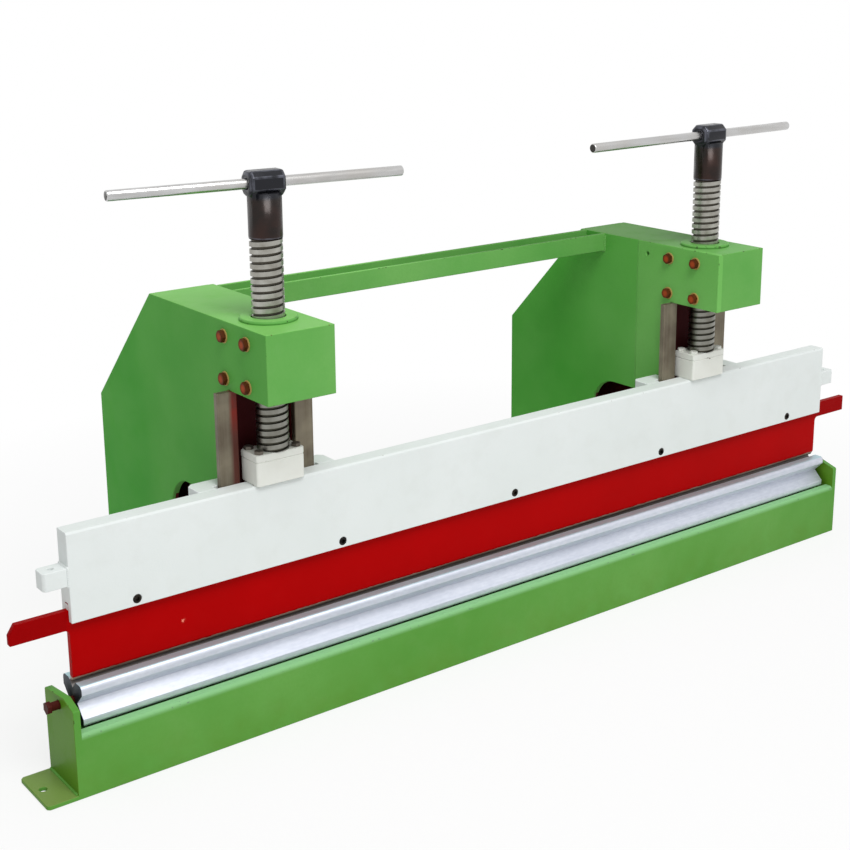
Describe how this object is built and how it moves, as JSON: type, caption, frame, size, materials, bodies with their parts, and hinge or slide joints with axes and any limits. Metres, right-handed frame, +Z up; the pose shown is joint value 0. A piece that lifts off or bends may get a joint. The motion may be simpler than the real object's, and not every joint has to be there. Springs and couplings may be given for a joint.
{
  "type": "manual press brake",
  "caption": "Hand-operated press brake: two C-frames with screws lower a ram and punch blade into a four-way V die.",
  "frame": {"origin": "on the floor, under the middle of the bending line, on the underside of the bed floor plate", "axes": "+X along the bending line, +Y to the rear where the frames' throats are, +Z up along the screws"},
  "size_m": [1.384, 0.436, 0.6596],
  "materials": {
    "green_paint": "satin enamel",
    "white_paint": "satin enamel",
    "cream_paint": "satin enamel",
    "red_paint": "gloss enamel",
    "red_oxide": "matt primer",
    "primed_bolts": "matt primer",
    "bare_steel": "ground",
    "screw_steel": "turned",
    "bright_steel": "drawn",
    "die_steel": "milled",
    "black_steel": "blackened",
    "dark_bolts": "blackened",
    "bronze": "turned"
  },
  "bodies": {
    "frame": {"bed_floor_plate": "green_paint", "bed_front_plate": "green_paint", "bed_rear_plate": "green_paint", "die": "die_steel", "die_rail": "green_paint", "left_back_plate": "green_paint", "left_collar_ring": "green_paint", "left_column_front_plate": "red_oxide", "left_end_plate": "green_paint", "left_head_front_plate": "green_paint", "left_inner_guide_bar": "bare_steel", "left_inner_side_plate": "green_paint", "left_nut_block": "red_oxide", "left_nut_bolts": "primed_bolts", "left_outer_guide_bar": "bare_steel", "left_outer_side_plate": "green_paint", "left_pivot_bolt": "primed_bolts", "left_screw_nut": "bronze", "left_top_plate": "green_paint", "rear_beam": "green_paint", "right_back_plate": "green_paint", "right_collar_ring": "green_paint", "right_column_front_plate": "red_oxide", "right_end_plate": "green_paint", "right_head_front_plate": "green_paint", "right_inner_guide_bar": "bare_steel", "right_inner_side_plate": "green_paint", "right_nut_block": "red_oxide", "right_nut_bolts": "primed_bolts", "right_outer_guide_bar": "bare_steel", "right_outer_side_plate": "green_paint", "right_pivot_bolt": "primed_bolts", "right_screw_nut": "bronze", "right_top_plate": "green_paint"},
    "ram": {"blade_screws": "dark_bolts", "left_cap_bolts": "dark_bolts", "left_inner_keeper": "white_paint", "left_lug": "white_paint", "left_outer_keeper": "white_paint", "left_thrust_block": "cream_paint", "left_thrust_cap": "cream_paint", "punch_blade": "red_paint", "ram_plate": "white_paint", "right_cap_bolts": "dark_bolts", "right_inner_keeper": "white_paint", "right_lug": "white_paint", "right_outer_keeper": "white_paint", "right_thrust_block": "cream_paint", "right_thrust_cap": "cream_paint"},
    "left_screw": {"left_hub": "black_steel", "left_screw": "screw_steel", "left_thrust_button": "screw_steel"},
    "right_screw": {"right_hub": "black_steel", "right_screw": "screw_steel", "right_thrust_button": "screw_steel"},
    "left_handle": {"left_handle_bar": "bright_steel"},
    "right_handle": {"right_handle_bar": "bright_steel"}
  },
  "joints": [
    {"name": "ram_travel", "type": "slide", "parent": "frame", "child": "ram", "axis": [0, 0, 1], "range_m": [-0.006, 0.07]},
    {"name": "left_screw_turn", "type": "hinge", "parent": "ram", "child": "left_screw", "pos_m": [-0.36, 0, 0.3], "axis": [0, 0, 1], "range_deg": [-255, 2975.2]},
    {"name": "right_screw_turn", "type": "hinge", "parent": "ram", "child": "right_screw", "pos_m": [0.36, 0, 0.3], "axis": [0, 0, 1], "range_deg": [-255, 2975.2]},
    {"name": "left_handle_slide", "type": "slide", "parent": "left_screw", "child": "left_handle", "axis": [0.9934, -0.1149, 0], "range_m": [-0.14, 0.146]},
    {"name": "right_handle_slide", "type": "slide", "parent": "right_screw", "child": "right_handle", "axis": [0.9991, 0.0419, 0], "range_m": [-0.14, 0.198]}
  ],
  "couplings": [
    {"joint": "left_screw_turn", "follows": "ram_travel", "rad_per_m": 741.82},
    {"joint": "right_screw_turn", "follows": "ram_travel", "rad_per_m": 741.82}
  ]
}
